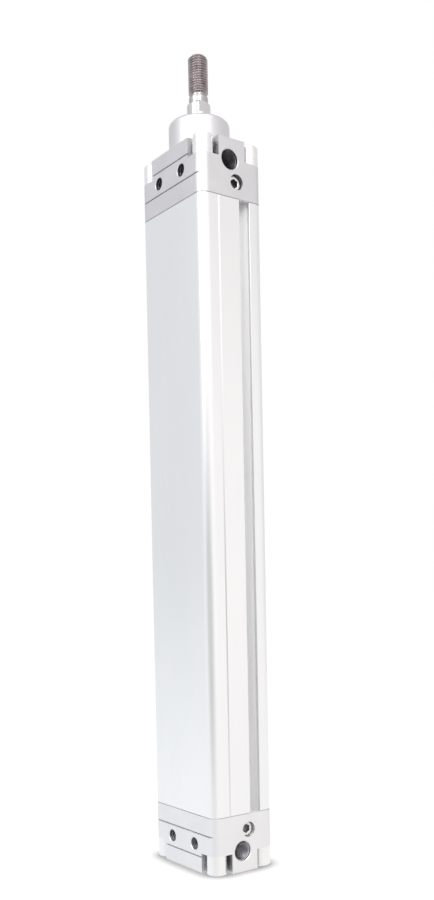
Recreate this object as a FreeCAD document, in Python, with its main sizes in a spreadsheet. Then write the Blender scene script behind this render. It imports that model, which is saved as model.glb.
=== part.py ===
import FreeCAD, Part
import Sketcher
import math
import os
import re

# Flat double-acting pneumatic cylinder with an oval piston and adjustable cushioning.
# Millimetres. +Z runs along the piston rod, out of the front cap. The origin is the centre
# of the rear cap's end face. X is across the wide faces, and the ports are on the +X side.

os.makedirs("parts", exist_ok=True)
doc = FreeCAD.newDocument("flat_cylinder")

# Driving dimensions
DIMENSIONS = [
    ("body_width", 54.5, "barrel and caps along X"),
    ("body_depth", 37.6, "barrel and caps along Y"),
    ("corner_radius", 5.0, "rounding of the four long edges"),
    ("cap_height", 29.0, "cap from its joint to its end face"),
    ("edge_break", 0.35, "small chamfer round each cap's end face"),
    ("joint_gap", 0.35, "fine gap that shows round the joint of cap and barrel"),
    ("joint_inset", 0.8, "depth of that gap"),
    ("joint_corner", 2.6, "corner cut of the face inside that gap"),
    ("stroke", 250.0, "travel of the rod"),
    ("end_gap", 0.3, "free gap at each end of the stroke"),
    ("bore_half_straight", 5.25, "centre of the oval bore to an arc centre"),
    ("bore_radius", 13.0, "arc radius of the oval bore"),
    ("slot_offset", 7.05, "sensor slot's middle from the profile's middle"),
    ("slot_mouth", 6.4, "sensor slot's width at the surface"),
    ("slot_neck", 6.1, "sensor slot's width between its lips"),
    ("slot_mouth_chamfer", 0.15, "depth of the mouth's chamfer"),
    ("slot_lip", 1.6, "thickness of the lips"),
    ("slot_inside", 7.2, "sensor slot's width behind its lips"),
    ("slot_wall_end", 2.2, "depth where the inside walls start to close in"),
    ("slot_floor", 0.6, "width of the slot's floor"),
    ("slot_depth", 6.3, "depth of the slot's floor"),
    ("line_offset", 8.6, "marking groove from the profile's middle"),
    ("line_width", 0.9, "width of the marking groove"),
    ("line_depth", 0.45, "depth of the marking groove"),
    ("collar_radius", 15.5, "round collar of the front cap"),
    ("collar_height", 16.4, "collar above the front cap's end face"),
    ("collar_round", 2.4, "rounding of the collar's rim"),
    ("spigot_length", 8.0, "cap's oval spigot inside the barrel"),
    ("spigot_gap", 0.1, "spigot to bore"),
    ("cap_seal_low", 5.5, "lower edge of the seal groove below the joint"),
    ("cap_seal_high", 2.7, "upper edge of the seal groove below the joint"),
    ("cap_seal_groove", 1.7, "depth of the seal groove"),
    ("cap_seal_play", 0.1, "axial play of the cap seal in its groove"),
    ("seal_gap", 0.08, "sliding seals and guide band to what they run on"),
    ("static_gap", 0.05, "still seals to the walls round them"),
    ("chamber_radius", 8.6, "cushion chamber in each cap"),
    ("chamber_depth", 22.0, "cushion chamber above the joint"),
    ("cushion_seal_radius", 10.5, "groove of the cushion seal"),
    ("cushion_seal_low", 1.0, "groove's start above the joint"),
    ("cushion_seal_high", 6.0, "groove's end above the joint"),
    ("cushion_lip", 1.6, "thickness of the cushion seal's lip"),
    ("ring_play", 0.1, "play of a ring in its groove"),
    ("head_inset", 5.1, "collar screw's axis from both outer faces"),
    ("head_radius", 5.0, "round head of a collar screw"),
    ("head_height", 9.8, "height of the head"),
    ("head_chamfer", 0.5, "chamfer of the head's rim"),
    ("head_thread_radius", 3.0, "M6 thread in the head"),
    ("head_thread_depth", 6.0, "depth of that thread"),
    ("head_socket", 4.0, "hexagon socket below the thread, across flats"),
    ("head_socket_depth", 2.4, "depth of the socket"),
    ("pocket_gap", 0.9, "corner pocket's wall to the head"),
    ("pocket_depth", 10.0, "corner pocket below the end face"),
    ("screw_radius", 2.2, "M5 thread of a collar screw, at its pitch line"),
    ("screw_gap", 0.05, "screw to its tapped hole"),
    ("screw_clear_radius", 2.75, "screw's hole through the cap"),
    ("screw_grip", 12.0, "screw inside the barrel"),
    ("tapped_depth", 14.0, "tapped hole in the barrel"),
    ("port_side", -1.2, "port from the middle, along Y"),
    ("port_height", 18.5, "port above the joint"),
    ("port_radius", 4.86, "G1/8 thread at its outer line"),
    ("port_mouth_radius", 5.2, "port's mouth"),
    ("port_depth", 11.5, "port's threaded depth"),
    ("port_passage_radius", 2.5, "drilling from the port to the chamber"),
    ("near_hole_half_span", 10.0, "side thread of the near face from the middle, along X"),
    ("far_hole_half_span", 11.0, "side thread of the far face from the middle, along X"),
    ("side_hole_height", 15.3, "side threads above the joint"),
    ("side_hole_radius", 3.0, "M6 side thread at its outer line"),
    ("side_hole_mouth", 3.3, "countersunk mouth of a side thread"),
    ("side_hole_depth", 8.5, "depth of a side thread"),
    ("drill_tip", 1.4, "height of the drilled cone at a blind hole's end"),
    ("face_groove_low", 9.5, "lower groove on the wide faces, above the joint"),
    ("face_groove_high", 20.9, "upper groove on the wide faces, above the joint"),
    ("face_groove_width", 0.8, "width of those grooves"),
    ("face_groove_depth", 1.4, "depth of those grooves"),
    ("needle_side", 2.6, "cushion screw from the middle, along Y"),
    ("needle_height", 8.2, "cushion screw above the joint"),
    ("needle_recess", 1.9, "cushion screw's head below the surface"),
    ("needle_head_bore", 3.8, "wide bore for the cushion screw's head"),
    ("needle_head_depth", 5.0, "depth of the wide bore"),
    ("needle_bore", 3.1, "narrow bore for the cushion screw"),
    ("needle_bore_depth", 13.75, "depth of the narrow bore"),
    ("needle_seat_radius", 1.2, "passage that the needle closes"),
    ("needle_gap", 0.1, "cushion screw to its bore"),
    ("needle_head_length", 2.9, "length of the cushion screw's head"),
    ("needle_head_chamfer", 0.3, "chamfer of that head's rim"),
    ("needle_cone_start", 12.55, "depth where the needle's cone starts"),
    ("needle_cone_end", 13.55, "depth where the needle's cone ends"),
    ("needle_cone_radius", 2.2, "wide end of the cone"),
    ("needle_tip_radius", 0.8, "needle's tip"),
    ("needle_tip_end", 15.75, "depth of the needle's end"),
    ("needle_socket", 4.0, "hexagon socket of the cushion screw, across flats"),
    ("needle_socket_depth", 2.5, "depth of that socket"),
    ("needle_socket_mouth", 2.45, "radius of the socket's chamfered mouth"),
    ("needle_ring_start", 9.75, "depth where the O-ring groove starts"),
    ("needle_ring_width", 1.0, "width of the O-ring groove"),
    ("needle_ring_radius", 0.4, "section of the O-ring"),
    ("bleed_depth", 13.05, "bleed drilling from the narrow side"),
    ("bleed_radius", 1.0, "bleed drilling from the needle to the barrel"),
    ("rod_radius", 6.0, "piston rod"),
    ("rod_gap", 0.04, "bush to rod"),
    ("bush_wall", 1.5, "rod bush"),
    ("bush_length", 15.4, "rod bush"),
    ("rod_seal_radius", 9.5, "pocket for rod seal and wiper"),
    ("rod_seal_length", 4.0, "rod seal"),
    ("rod_seal_lip", 0.9, "width of the rod seal's lip"),
    ("wiper_body_length", 3.4, "wiper inside the collar"),
    ("wiper_lip_length", 4.3, "wiper up to its lip"),
    ("wiper_hollow", 0.9, "wiper's body to the rod"),
    ("shoulder_height", 26.8, "rod's shoulder above the front cap"),
    ("shank_radius", 4.9, "plain shank above the shoulder"),
    ("shank_length", 3.2, "length of that shank"),
    ("flats_width", 10.0, "wrench flats, across"),
    ("flats_length", 6.0, "wrench flats, below the shoulder"),
    ("relief_radius", 4.3, "neck behind the rod's thread"),
    ("relief_length", 1.2, "length of that neck"),
    ("thread_radius", 5.0, "M10x1.25 rod thread"),
    ("thread_length", 19.3, "rod thread"),
    ("thread_chamfer", 1.4, "chamfer at the rod's tip"),
    ("rod_neck_radius", 5.0, "rod inside the piston"),
    ("neck_gap", 0.05, "piston's pieces to the rod's neck"),
    ("half_length", 12.2, "each half of the piston"),
    ("magnet_length", 8.0, "ring magnet between the halves"),
    ("piston_radius", 12.6, "arc radius of the oval piston"),
    ("hub_radius", 7.0, "hub inside the magnet"),
    ("magnet_radius", 10.9, "arc radius of the magnet"),
    ("band_inner_radius", 11.0, "arc radius inside the guide band"),
    ("piston_seal_start", 4.0, "seal groove from the piston's outer face"),
    ("piston_seal_width", 4.2, "width of the seal groove"),
    ("piston_seal_depth", 3.0, "depth of the seal groove"),
    ("buffer_length", 2.0, "elastic buffer"),
    ("buffer_radius", 11.5, "arc radius of the buffer"),
    ("sleeve_radius", 8.3, "cushion sleeve"),
    ("sleeve_length", 24.0, "cushion sleeve"),
    ("sleeve_taper", 2.5, "length of the sleeve's tapered nose"),
    ("sleeve_nose", 0.6, "sleeve's nose is smaller by this"),
    ("rod_ring_start", 5.2, "rod O-ring groove from the piston's outer face"),
    ("rod_ring_groove", 1.15, "depth of that groove"),
    ("rod_ring_radius", 0.5, "section of the rod O-ring"),
    ("nut_radius", 8.0, "round nut"),
    ("nut_length", 6.0, "round nut"),
    ("nut_slot_width", 3.0, "slots in the nut"),
    ("nut_slot_depth", 2.5, "slots in the nut"),
    ("rod_tail", 0.8, "rod past the nut"),
]
VALUES = {alias: value for alias, value, meaning in DIMENSIONS}

sheet = doc.addObject("Spreadsheet::Sheet", "Dims")
for row, (alias, value, meaning) in enumerate(DIMENSIONS, start=1):
    sheet.set(f"A{row}", meaning)
    sheet.set(f"B{row}", str(value))
    sheet.setAlias(f"B{row}", alias)
doc.recompute()

sub_parts = {}


# Drawing helpers
def on_sheet(text):
    """Expression text with each dimension's name pointing at the sheet."""
    words = re.split(r"(\w+)", text)
    return "".join("Dims." + word if word in VALUES else word for word in words)


def new_body(name):
    body = doc.addObject("PartDesign::Body", name)
    body.Label = name
    return body


def origin_feature(body, role):
    return next(item for item in body.Origin.OriginFeatures if item.Role == role)


def new_sketch(body, name, role, shift=None):
    """Sketch on one of the body's own planes, moved by the expressions in shift."""
    sketch = body.newObject("Sketcher::SketchObject", name)
    sketch.AttachmentSupport = [(origin_feature(body, role), "")]
    sketch.MapMode = "FlatFace"
    for axis, amount in (shift or {}).items():
        sketch.setExpression("AttachmentOffset.Base." + axis, on_sheet(amount))
    return sketch


def dimension(sketch, kind, references, start, amount):
    """Named dimension that follows the sheet."""
    index = sketch.addConstraint(Sketcher.Constraint(kind, *references, start))
    name = f"{kind}_{index}"
    sketch.renameConstraint(index, name)
    sketch.setExpression("Constraints." + name, on_sheet(amount))


def polygon(sketch, corners):
    """Closed outline through corners, each a pair of expressions."""
    first = sketch.GeometryCount
    count = len(corners)
    rough = []
    for number in range(count):
        turn = 2 * math.pi * number / count
        rough.append(FreeCAD.Vector(10 * math.cos(turn), 10 * math.sin(turn), 0))
    for number in range(count):
        sketch.addGeometry(Part.LineSegment(rough[number], rough[(number + 1) % count]))
    for number in range(count):
        following = first + (number + 1) % count
        sketch.addConstraint(Sketcher.Constraint("Coincident", first + number, 2, following, 1))
    for number, (across, up) in enumerate(corners):
        point = (-1, 1, first + number, 1)
        dimension(sketch, "DistanceX", point, rough[number].x, across)
        dimension(sketch, "DistanceY", point, rough[number].y, up)


def rectangle(sketch, left, right, low, high):
    polygon(sketch, [(left, low), (right, low), (right, high), (left, high)])


def circle(sketch, across, up, radius):
    index = sketch.addGeometry(Part.Circle(FreeCAD.Vector(1, 1, 0), FreeCAD.Vector(0, 0, 1), 2))
    dimension(sketch, "DistanceX", (-1, 1, index, 3), 1, across)
    dimension(sketch, "DistanceY", (-1, 1, index, 3), 1, up)
    dimension(sketch, "Radius", (index,), 2, radius)


def oval(sketch, radius):
    """Two arcs at the bore's arc centres, joined by straight lines."""
    half = VALUES["bore_half_straight"]
    size = VALUES["bore_radius"]
    up = FreeCAD.Vector(0, 0, 1)
    right = Part.Circle(FreeCAD.Vector(half, 0, 0), up, size)
    left = Part.Circle(FreeCAD.Vector(-half, 0, 0), up, size)
    quarter = math.pi / 2
    right_arc = sketch.addGeometry(Part.ArcOfCircle(right, -quarter, quarter))
    top = sketch.addGeometry(Part.LineSegment(FreeCAD.Vector(half, size), FreeCAD.Vector(-half, size)))
    left_arc = sketch.addGeometry(Part.ArcOfCircle(left, quarter, 3 * quarter))
    low = sketch.addGeometry(Part.LineSegment(FreeCAD.Vector(-half, -size), FreeCAD.Vector(half, -size)))
    for one, following in ((right_arc, top), (top, left_arc), (left_arc, low), (low, right_arc)):
        sketch.addConstraint(Sketcher.Constraint("Tangent", one, 2, following, 1))
    for arc in (right_arc, left_arc):
        sketch.addConstraint(Sketcher.Constraint("PointOnObject", arc, 3, -1))
    dimension(sketch, "DistanceX", (-1, 1, right_arc, 3), half, "bore_half_straight")
    dimension(sketch, "DistanceX", (-1, 1, left_arc, 3), -half, "-bore_half_straight")
    sketch.addConstraint(Sketcher.Constraint("Equal", right_arc, left_arc))
    dimension(sketch, "Radius", (right_arc,), size, radius)


# Feature helpers
def pad(body, name, sketch, length):
    feature = body.newObject("PartDesign::Pad", name)
    feature.Profile = sketch
    feature.setExpression("Length", on_sheet(length))
    doc.recompute()
    return feature


def checked_cut(body, feature, before):
    """A cut that points away from the solid removes nothing, so its volume is compared."""
    doc.recompute()
    removed = before - body.Shape.Volume
    if removed <= 0:
        raise RuntimeError(feature.Name + " removes nothing")
    return feature


def pocket(body, name, sketch, length, along_normal=True):
    before = body.Shape.Volume
    feature = body.newObject("PartDesign::Pocket", name)
    feature.Profile = sketch
    feature.Reversed = along_normal
    feature.setExpression("Length", on_sheet(length))
    return checked_cut(body, feature, before)


def groove(body, name, sketch, axis):
    before = body.Shape.Volume
    feature = body.newObject("PartDesign::Groove", name)
    feature.Profile = sketch
    feature.ReferenceAxis = (sketch, [axis])
    feature.Angle = 360.0
    return checked_cut(body, feature, before)


def turned(body, name, outline):
    """Solid turned about Z from an outline of (radius, height) expressions."""
    sketch = new_sketch(body, name + "_outline", "XZ_Plane")
    polygon(sketch, outline)
    feature = body.newObject("PartDesign::Revolution", name)
    feature.Profile = sketch
    feature.ReferenceAxis = (sketch, ["V_Axis"])
    feature.Angle = 360.0
    doc.recompute()
    return feature


def dress(body, kind, name, size_name, size, chosen):
    """Fillet or chamfer on the edges that chosen accepts."""
    base = body.Tip
    edges = [f"Edge{number}" for number, edge in enumerate(base.Shape.Edges, start=1) if chosen(edge)]
    feature = body.newObject("PartDesign::" + kind, name)
    feature.Base = (base, edges)
    feature.setExpression(size_name, on_sheet(size))
    doc.recompute()
    return feature


def upright(edge):
    low, high = edge.Vertexes[0].Point, edge.Vertexes[-1].Point
    return math.hypot(low.x - high.x, low.y - high.y) < 1e-6


def level(height):
    """Test for edges that lie in the plane at this height."""
    return lambda edge: all(abs(point.Z - height) < 1e-6 for point in edge.Vertexes)


def place(item, across="0", depth="0", up="0", rotation=None):
    item.Placement = FreeCAD.Placement(FreeCAD.Vector(), rotation or FreeCAD.Rotation())
    for axis, amount in (("x", across), ("y", depth), ("z", up)):
        item.setExpression("Placement.Base." + axis, on_sheet(amount))


def hexagon(flats):
    """Corners of a hexagon of this size across flats."""
    point = f"{flats} / sqrt(3)"
    side = f"{flats} / 2 / sqrt(3)"
    half = f"{flats} / 2"
    return [(point, "0"), (side, half), ("-" + side, half),
            ("-" + point, "0"), ("-" + side, "-" + half), (side, "-" + half)]


UPSIDE_DOWN = FreeCAD.Rotation(FreeCAD.Vector(1, 0, 0), 180)
SIGNS = [("", ""), ("-", ""), ("-", "-"), ("", "-")]
HALF_WIDTH = "body_width / 2"
HALF_DEPTH = "body_depth / 2"
SCREW_X = "(body_width / 2 - head_inset)"
SCREW_Y = "(body_depth / 2 - head_inset)"
PISTON_LENGTH = "(2 * half_length + magnet_length + 2 * buffer_length)"
BARREL_LENGTH = f"(stroke + {PISTON_LENGTH} + 2 * end_gap + 2 * spigot_length)"
FRONT_JOINT = f"(cap_height + {BARREL_LENGTH})"


def four_circles(body, name, height, radius):
    """Sketch with a circle on each collar screw's axis."""
    sketch = new_sketch(body, name, "XY_Plane", {"z": height})
    for sign_x, sign_y in SIGNS:
        circle(sketch, sign_x + SCREW_X, sign_y + SCREW_Y, radius)
    return sketch


# Barrel: extruded profile, oval bore, sensor slots and marking grooves, tapped at both ends
def make_barrel():
    body = new_body("barrel")
    outline = new_sketch(body, "barrel_outline", "XY_Plane")
    rectangle(outline, "-" + HALF_WIDTH, HALF_WIDTH, "-" + HALF_DEPTH, HALF_DEPTH)
    pad(body, "barrel_extrusion", outline, BARREL_LENGTH)
    dress(body, "Fillet", "barrel_corners", "Radius", "corner_radius", upright)

    bore = new_sketch(body, "barrel_bore_outline", "XY_Plane")
    oval(bore, "bore_radius")
    pocket(body, "barrel_bore", bore, BARREL_LENGTH)

    # The slot's section from its mouth to its floor, as half width and depth
    section = [
        ("slot_mouth / 2", "0"),
        ("slot_neck / 2", "slot_mouth_chamfer"),
        ("slot_neck / 2", "slot_lip"),
        ("slot_inside / 2", "slot_lip"),
        ("slot_inside / 2", "slot_wall_end"),
        ("slot_floor / 2", "slot_depth"),
    ]
    right_side = [(f"({HALF_WIDTH} - {depth})", f"(slot_offset + {half})") for half, depth in section]
    left_side = [(f"({HALF_WIDTH} - {depth})", f"(slot_offset - {half})") for half, depth in section]
    slot_corners = right_side + left_side[::-1]
    line_corners = [
        (f"({HALF_WIDTH})", "(line_width / 2 - line_offset)"),
        (f"({HALF_WIDTH} - line_depth)", "(-line_offset)"),
        (f"({HALF_WIDTH})", "(-line_width / 2 - line_offset)"),
    ]
    for name, corners in (("sensor_slots", slot_corners), ("marking_grooves", line_corners)):
        sketch = new_sketch(body, name + "_outline", "XY_Plane")
        polygon(sketch, corners)
        one = pocket(body, name, sketch, BARREL_LENGTH)
        both = body.newObject("PartDesign::PolarPattern", name + "_pair")
        both.Originals = [one]
        both.Axis = (origin_feature(body, "Z_Axis"), [""])
        both.Angle = 360.0
        both.Occurrences = 2
        body.Tip = both
        doc.recompute()

    hole_radius = "screw_radius + screw_gap"
    pocket(body, "rear_tapped_holes", four_circles(body, "rear_taps", "0", hole_radius), "tapped_depth")
    front_taps = four_circles(body, "front_taps", BARREL_LENGTH, hole_radius)
    pocket(body, "front_tapped_holes", front_taps, "tapped_depth", along_normal=False)
    place(body, up="cap_height")
    sub_parts["barrel"] = body


# Caps: each is drawn from its joint with the barrel, and its end face points along +Z
def cap_block(name, side_sign):
    body = new_body(name)
    outline = new_sketch(body, name + "_outline", "XY_Plane")
    rectangle(outline, "-" + HALF_WIDTH, HALF_WIDTH, "-" + HALF_DEPTH, HALF_DEPTH)
    pad(body, name + "_block", outline, "cap_height")
    dress(body, "Fillet", name + "_corners", "Radius", "corner_radius", upright)
    dress(body, "Chamfer", name + "_end_edge", "Size", "edge_break", level(VALUES["cap_height"]))

    # The cap meets the barrel on a face a little inside its outline, which leaves a fine gap
    inner_x = f"({HALF_WIDTH} - joint_inset)"
    inner_y = f"({HALF_DEPTH} - joint_inset)"
    gap = new_sketch(body, name + "_joint_gap_outline", "XY_Plane")
    rectangle(gap, "-body_width", "body_width", "-body_depth", "body_depth")
    polygon(gap, [
        (inner_x, f"joint_corner - {inner_y}"),
        (inner_x, f"{inner_y} - joint_corner"),
        (f"{inner_x} - joint_corner", inner_y),
        (f"joint_corner - {inner_x}", inner_y),
        ("-" + inner_x, f"{inner_y} - joint_corner"),
        ("-" + inner_x, f"joint_corner - {inner_y}"),
        (f"joint_corner - {inner_x}", "-" + inner_y),
        (f"{inner_x} - joint_corner", "-" + inner_y),
    ])
    pocket(body, name + "_joint_gap", gap, "joint_gap")

    spigot = new_sketch(body, name + "_spigot_outline", "XY_Plane", {"z": "-spigot_length"})
    oval(spigot, "bore_radius - spigot_gap")
    pad(body, name + "_spigot", spigot, "spigot_length")
    seal_groove = new_sketch(body, name + "_seal_groove_outline", "XY_Plane", {"z": "-cap_seal_low"})
    oval(seal_groove, "bore_radius")
    oval(seal_groove, "bore_radius - spigot_gap - cap_seal_groove")
    pocket(body, name + "_seal_groove", seal_groove, "cap_seal_low - cap_seal_high")

    # Open pocket in each corner, with a wall round the collar screw's head
    reach = "(head_radius + pocket_gap)"
    floor = "cap_height - pocket_depth"
    pocket(body, name + "_pocket_rounds", four_circles(body, name + "_rounds", floor, reach), "pocket_depth")
    corner = new_sketch(body, name + "_pocket_outline", "XY_Plane", {"z": floor})
    for sign_x, sign_y in SIGNS:
        polygon(corner, [
            (f"{sign_x}({SCREW_X} - {reach})", f"{sign_y}body_depth"),
            (f"{sign_x}body_width", f"{sign_y}body_depth"),
            (f"{sign_x}body_width", f"{sign_y}({SCREW_Y} - {reach})"),
            (f"{sign_x}{SCREW_X}", f"{sign_y}({SCREW_Y} - {reach})"),
            (f"{sign_x}{SCREW_X}", f"{sign_y}{SCREW_Y}"),
            (f"{sign_x}({SCREW_X} - {reach})", f"{sign_y}{SCREW_Y}"),
        ])
    pocket(body, name + "_corner_pockets", corner, "pocket_depth")
    pocket(body, name + "_screw_holes", four_circles(body, name + "_holes", "0", "screw_clear_radius"), floor)

    # Cushion chamber with the groove of the cushion seal
    chamber = new_sketch(body, name + "_chamber_outline", "XZ_Plane")
    polygon(chamber, [
        ("0", "-spigot_length"),
        ("chamber_radius", "-spigot_length"),
        ("chamber_radius", "cushion_seal_low"),
        ("cushion_seal_radius", "cushion_seal_low"),
        ("cushion_seal_radius", "cushion_seal_high"),
        ("chamber_radius", "cushion_seal_high"),
        ("chamber_radius", "chamber_depth"),
        ("0", "chamber_depth"),
    ])
    groove(body, name + "_chamber", chamber, "V_Axis")

    # Port, turned about its own axis along X
    port = new_sketch(body, name + "_port_outline", "XZ_Plane",
                      {"y": "port_height", "z": f"-({side_sign}port_side)"})
    polygon(port, [
        ("0", "0"),
        ("0", "port_passage_radius"),
        (f"{HALF_WIDTH} - port_depth - drill_tip", "port_passage_radius"),
        (f"{HALF_WIDTH} - port_depth", "port_radius"),
        (f"{HALF_WIDTH} - port_mouth_radius + port_radius", "port_radius"),
        (HALF_WIDTH, "port_mouth_radius"),
        (HALF_WIDTH, "0"),
    ])
    groove(body, name + "_port", port, "H_Axis")

    # Stepped bore of the cushion screw, its seat, and the bleed drilling to the barrel
    needle_y = f"{side_sign}needle_side"
    needle = new_sketch(body, name + "_needle_outline", "XZ_Plane",
                        {"y": "needle_height", "z": f"-({needle_y})"})
    polygon(needle, [
        ("chamber_radius / 2", "0"),
        ("chamber_radius / 2", "needle_seat_radius"),
        (f"{HALF_WIDTH} - needle_bore_depth", "needle_seat_radius"),
        (f"{HALF_WIDTH} - needle_bore_depth", "needle_bore"),
        (f"{HALF_WIDTH} - needle_head_depth", "needle_bore"),
        (f"{HALF_WIDTH} - needle_head_depth", "needle_head_bore"),
        (HALF_WIDTH, "needle_head_bore"),
        (HALF_WIDTH, "0"),
    ])
    groove(body, name + "_needle_bore", needle, "H_Axis")
    bleed = new_sketch(body, name + "_bleed_outline", "XY_Plane", {"z": "-spigot_length"})
    circle(bleed, f"{HALF_WIDTH} - bleed_depth", needle_y, "bleed_radius")
    pocket(body, name + "_bleed", bleed, "spigot_length + needle_height")

    # Side threads in both wide faces, those of the far face a little further apart
    near, far = ("-", "") if side_sign == "" else ("", "-")
    side_pairs = []
    for face, sign, span in (("near", near, "near_hole_half_span"), ("far", far, "far_hole_half_span")):
        side = new_sketch(body, f"{name}_{face}_side_outline", "YZ_Plane",
                          {"y": "side_hole_height", "z": span})
        polygon(side, [
            (f"{sign}({HALF_DEPTH})", "0"),
            (f"{sign}({HALF_DEPTH})", "side_hole_mouth"),
            (f"{sign}({HALF_DEPTH} - side_hole_mouth + side_hole_radius)", "side_hole_radius"),
            (f"{sign}({HALF_DEPTH} - side_hole_depth)", "side_hole_radius"),
            (f"{sign}({HALF_DEPTH} - side_hole_depth - drill_tip)", "0"),
        ])
        side_pairs.append(groove(body, f"{name}_{face}_side_threads", side, "H_Axis"))
    all_sides = body.newObject("PartDesign::Mirrored", name + "_side_threads_mirrored")
    all_sides.Originals = side_pairs
    all_sides.MirrorPlane = (origin_feature(body, "YZ_Plane"), [""])
    body.Tip = all_sides
    doc.recompute()

    # Two fine grooves across each wide face
    lines = new_sketch(body, name + "_face_groove_outline", "YZ_Plane", {"z": "-" + HALF_WIDTH})
    for sign in ("", "-"):
        for height in ("face_groove_low", "face_groove_high"):
            polygon(lines, [
                (f"{sign}({HALF_DEPTH})", f"{height} - face_groove_width / 2"),
                (f"{sign}({HALF_DEPTH})", f"{height} + face_groove_width / 2"),
                (f"{sign}({HALF_DEPTH} - face_groove_depth)", height),
            ])
    pocket(body, name + "_face_grooves", lines, "body_width")
    return body


def make_front_cap():
    body = cap_block("front_cap", "")
    top = "(cap_height + collar_height)"
    turned(body, "front_cap_collar", [
        ("0", "cap_height"),
        ("collar_radius", "cap_height"),
        ("collar_radius", top),
        ("0", top),
    ])
    rim_height = VALUES["cap_height"] + VALUES["collar_height"]
    dress(body, "Fillet", "front_cap_rim", "Radius", "collar_round", level(rim_height))
    bearing = new_sketch(body, "front_cap_bearing_outline", "XZ_Plane")
    bush_radius = "rod_radius + rod_gap + bush_wall"
    seat = "chamber_depth + bush_length"
    polygon(bearing, [
        ("0", "chamber_depth"),
        (bush_radius, "chamber_depth"),
        (bush_radius, seat),
        ("rod_seal_radius", seat),
        ("rod_seal_radius", top),
        ("0", top),
    ])
    groove(body, "front_cap_bearing", bearing, "V_Axis")
    place(body, up=FRONT_JOINT)
    sub_parts["front_cap"] = body


def make_rear_cap():
    body = cap_block("rear_cap", "-")
    place(body, up="cap_height", rotation=UPSIDE_DOWN)
    sub_parts["rear_cap"] = body


# Collar screws: round head with a thread and a hexagon socket inside, threaded shank
def make_cap_screws(name, up, rotation):
    body = new_body(name + "_one")
    shank = "(cap_height - pocket_depth + screw_grip)"
    turned(body, name + "_turned", [
        ("0", "-" + shank),
        ("screw_radius - head_chamfer", "-" + shank),
        ("screw_radius", f"head_chamfer - {shank}"),
        ("screw_radius", "0"),
        ("head_radius", "0"),
        ("head_radius", "head_height - head_chamfer"),
        ("head_radius - head_chamfer", "head_height"),
        ("head_thread_radius", "head_height"),
        ("head_thread_radius", "head_height - head_thread_depth"),
        ("0", "head_height - head_thread_depth"),
    ])
    socket = new_sketch(body, name + "_socket_outline", "XY_Plane", {"z": "head_height - head_thread_depth"})
    polygon(socket, hexagon("head_socket"))
    pocket(body, name + "_socket", socket, "head_socket_depth", along_normal=False)
    place(body, SCREW_X, SCREW_Y, up, rotation)

    group = [body]
    for normal in (FreeCAD.Vector(1, 0, 0), FreeCAD.Vector(0, 1, 0)):
        for source in list(group):
            twin = doc.addObject("Part::Mirroring", f"{name}_{len(group) + 1}")
            twin.Source = source
            twin.Normal = normal
            group.append(twin)
    compound = doc.addObject("Part::Compound", name)
    compound.Label = name
    compound.Links = group
    sub_parts[name] = compound


# Oval rings: cap seals, piston seals, guide band, buffers and magnet
def make_oval_ring(name, outer, inner, length, up, round_hole=False):
    body = new_body(name)
    sketch = new_sketch(body, name + "_outline", "XY_Plane")
    oval(sketch, outer)
    if round_hole:
        circle(sketch, "0", "0", inner)
    else:
        oval(sketch, inner)
    pad(body, name + "_ring", sketch, length)
    place(body, up=up)
    sub_parts[name] = body


def make_round_ring(name, outline, up, rotation=None):
    body = new_body(name)
    turned(body, name + "_turned", outline)
    place(body, up=up, rotation=rotation)
    sub_parts[name] = body


def make_cap_seals():
    outer = "bore_radius - static_gap"
    inner = "bore_radius - spigot_gap - cap_seal_groove + static_gap"
    length = "cap_seal_low - cap_seal_high - 2 * cap_seal_play"
    make_oval_ring("front_cap_seal", outer, inner, length, f"{FRONT_JOINT} - cap_seal_low + cap_seal_play")
    make_oval_ring("rear_cap_seal", outer, inner, length, "cap_height + cap_seal_high + cap_seal_play")


def make_cushion_seals():
    run = "sleeve_radius + seal_gap"
    outside = "cushion_seal_radius - ring_play"
    height = "(cushion_seal_high - cushion_seal_low - 2 * ring_play)"
    outline = [
        (run, "0"),
        (outside, "0"),
        (outside, height),
        ("chamber_radius + ring_play", height),
        (run, "cushion_lip"),
    ]
    start = "(cushion_seal_low + ring_play)"
    make_round_ring("front_cushion_seal", outline, f"{FRONT_JOINT} + {start}")
    make_round_ring("rear_cushion_seal", outline, f"cap_height - {start}", UPSIDE_DOWN)


# Rod guide in the front cap: bush, lip seal and wiper
def make_rod_guide():
    bush_start = f"{FRONT_JOINT} + chamber_depth"
    outside = "rod_radius + rod_gap + bush_wall"
    make_round_ring("rod_bush", [
        ("rod_radius + rod_gap", "0"),
        (outside, "0"),
        (outside, "bush_length"),
        ("rod_radius + rod_gap", "bush_length"),
    ], bush_start)
    run = "rod_radius + seal_gap"
    make_round_ring("rod_seal", [
        (run, "0"),
        (f"{run} + rod_seal_lip", "0"),
        (f"{run} + rod_seal_lip", "rod_seal_length / 2"),
        ("rod_seal_radius - rod_seal_lip", "rod_seal_length / 2"),
        ("rod_seal_radius - rod_seal_lip", "0"),
        ("rod_seal_radius", "0"),
        ("rod_seal_radius", "rod_seal_length"),
        (run, "rod_seal_length"),
    ], f"{bush_start} + bush_length")
    make_round_ring("rod_wiper", [
        (f"{run} + wiper_hollow", "0"),
        ("rod_seal_radius", "0"),
        ("rod_seal_radius", "wiper_body_length"),
        (f"{run} + 2 * wiper_hollow", "wiper_body_length"),
        (f"{run} + wiper_hollow / 2", "wiper_lip_length"),
        (run, "wiper_lip_length"),
        (run, "wiper_lip_length - wiper_hollow"),
        (f"{run} + wiper_hollow", "wiper_lip_length - 2 * wiper_hollow"),
    ], f"{bush_start} + bush_length + rod_seal_length")


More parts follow.
